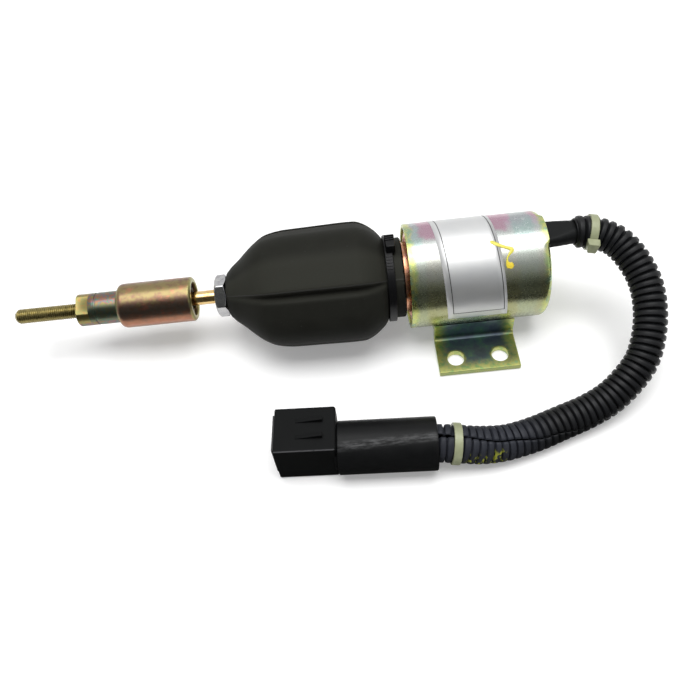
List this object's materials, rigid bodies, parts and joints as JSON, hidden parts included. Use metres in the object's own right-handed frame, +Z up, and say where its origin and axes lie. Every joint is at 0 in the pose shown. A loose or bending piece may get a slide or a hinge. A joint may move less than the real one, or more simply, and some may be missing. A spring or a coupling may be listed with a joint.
{
  "type": "shut-off solenoid",
  "caption": "Pull-type engine stop solenoid: plated can on a folded base bracket, lobed rubber boot, sprung threaded link, corrugated lead with plug.",
  "frame": {"origin": "on the bracket's mounting plane, under the middle of the length from the stud's tip to the can's end", "axes": "+X along the solenoid's axis from the threaded stud to the can's closed end, +Z up from the mounting plane, +Y away from the side where the lead lies"},
  "size_m": [0.2681, 0.1185, 0.0526],
  "materials": {
    "can": "yellow zinc plating, bright with green and pink tints, light scratches",
    "front_plate": "pink-orange zinc plating, bright",
    "guide_tube": "plain drawn tube",
    "coil_bobbin": "moulded black nylon",
    "pull_winding": null,
    "hold_winding": null,
    "back_pole": "turned bare steel",
    "bracket": "dark green-black zinc plating with yellow-green edges",
    "boot": "satin moulded rubber with a parting line",
    "boot_tie": "black nylon",
    "plunger": "turned bare steel",
    "rod": "gold zinc plating",
    "rod_head": "turned, clear zinc plating",
    "jam_nut": "clear zinc plating, bright",
    "spring_retainer": "pressed, clear zinc plating",
    "return_spring": "spring wire",
    "link_spring": "spring wire",
    "link_housing": "pink-gold zinc plating, satin turned",
    "link_stud": "olive-gold zinc plating, threaded",
    "link_washer": "clear zinc plating",
    "snap_ring": "spring steel, bright",
    "lead_sleeve": "smooth black vinyl",
    "conduit": "corrugated split conduit",
    "conduit_tie_upper": "natural nylon, yellowish white",
    "conduit_tie_lower": "natural nylon, yellowish white",
    "plug_sleeve": "black shrink sleeve with yellow paint specks at its rear edge",
    "plug_housing": "moulded black nylon",
    "plug_seal": "soft dark grey lip",
    "plug_terminal_1": "tinned",
    "lead_wire_1": "insulated wire",
    "plug_terminal_2": "tinned",
    "lead_wire_2": "insulated wire",
    "plug_terminal_3": "tinned",
    "lead_wire_3": "insulated wire"
  },
  "bodies": {
    "solenoid": {"can": "can", "front_plate": "front_plate", "guide_tube": "guide_tube", "coil_bobbin": "coil_bobbin", "pull_winding": "pull_winding", "hold_winding": "hold_winding", "back_pole": "back_pole", "bracket": "bracket", "boot": "boot", "boot_tie": "boot_tie", "return_spring": "return_spring", "lead_sleeve": "lead_sleeve", "conduit": "conduit", "conduit_tie_upper": "conduit_tie_upper", "conduit_tie_lower": "conduit_tie_lower", "plug_sleeve": "plug_sleeve", "plug_housing": "plug_housing", "plug_seal": "plug_seal", "plug_terminal_1": "plug_terminal_1", "lead_wire_1": "lead_wire_1", "plug_terminal_2": "plug_terminal_2", "lead_wire_2": "lead_wire_2", "plug_terminal_3": "plug_terminal_3", "lead_wire_3": "lead_wire_3"},
    "plunger": {"plunger": "plunger", "rod": "rod", "rod_head": "rod_head", "jam_nut": "jam_nut", "spring_retainer": "spring_retainer", "link_spring": "link_spring"},
    "link": {"link_housing": "link_housing", "link_stud": "link_stud", "link_washer": "link_washer", "snap_ring": "snap_ring"}
  },
  "joints": [
    {"name": "plunger_stroke", "type": "slide", "parent": "solenoid", "child": "plunger", "axis": [1, 0, 0], "range_m": [0, 0.0254], "stiffness_N_per_m": 600, "springref_m": -0.01, "deforming": ["boot", "return_spring"]},
    {"name": "link_overtravel", "type": "slide", "parent": "plunger", "child": "link", "axis": [-1, 0, 0], "range_m": [0, 0.008], "stiffness_N_per_m": 2500, "springref_m": -0.004, "deforming": ["link_spring"]}
  ]
}
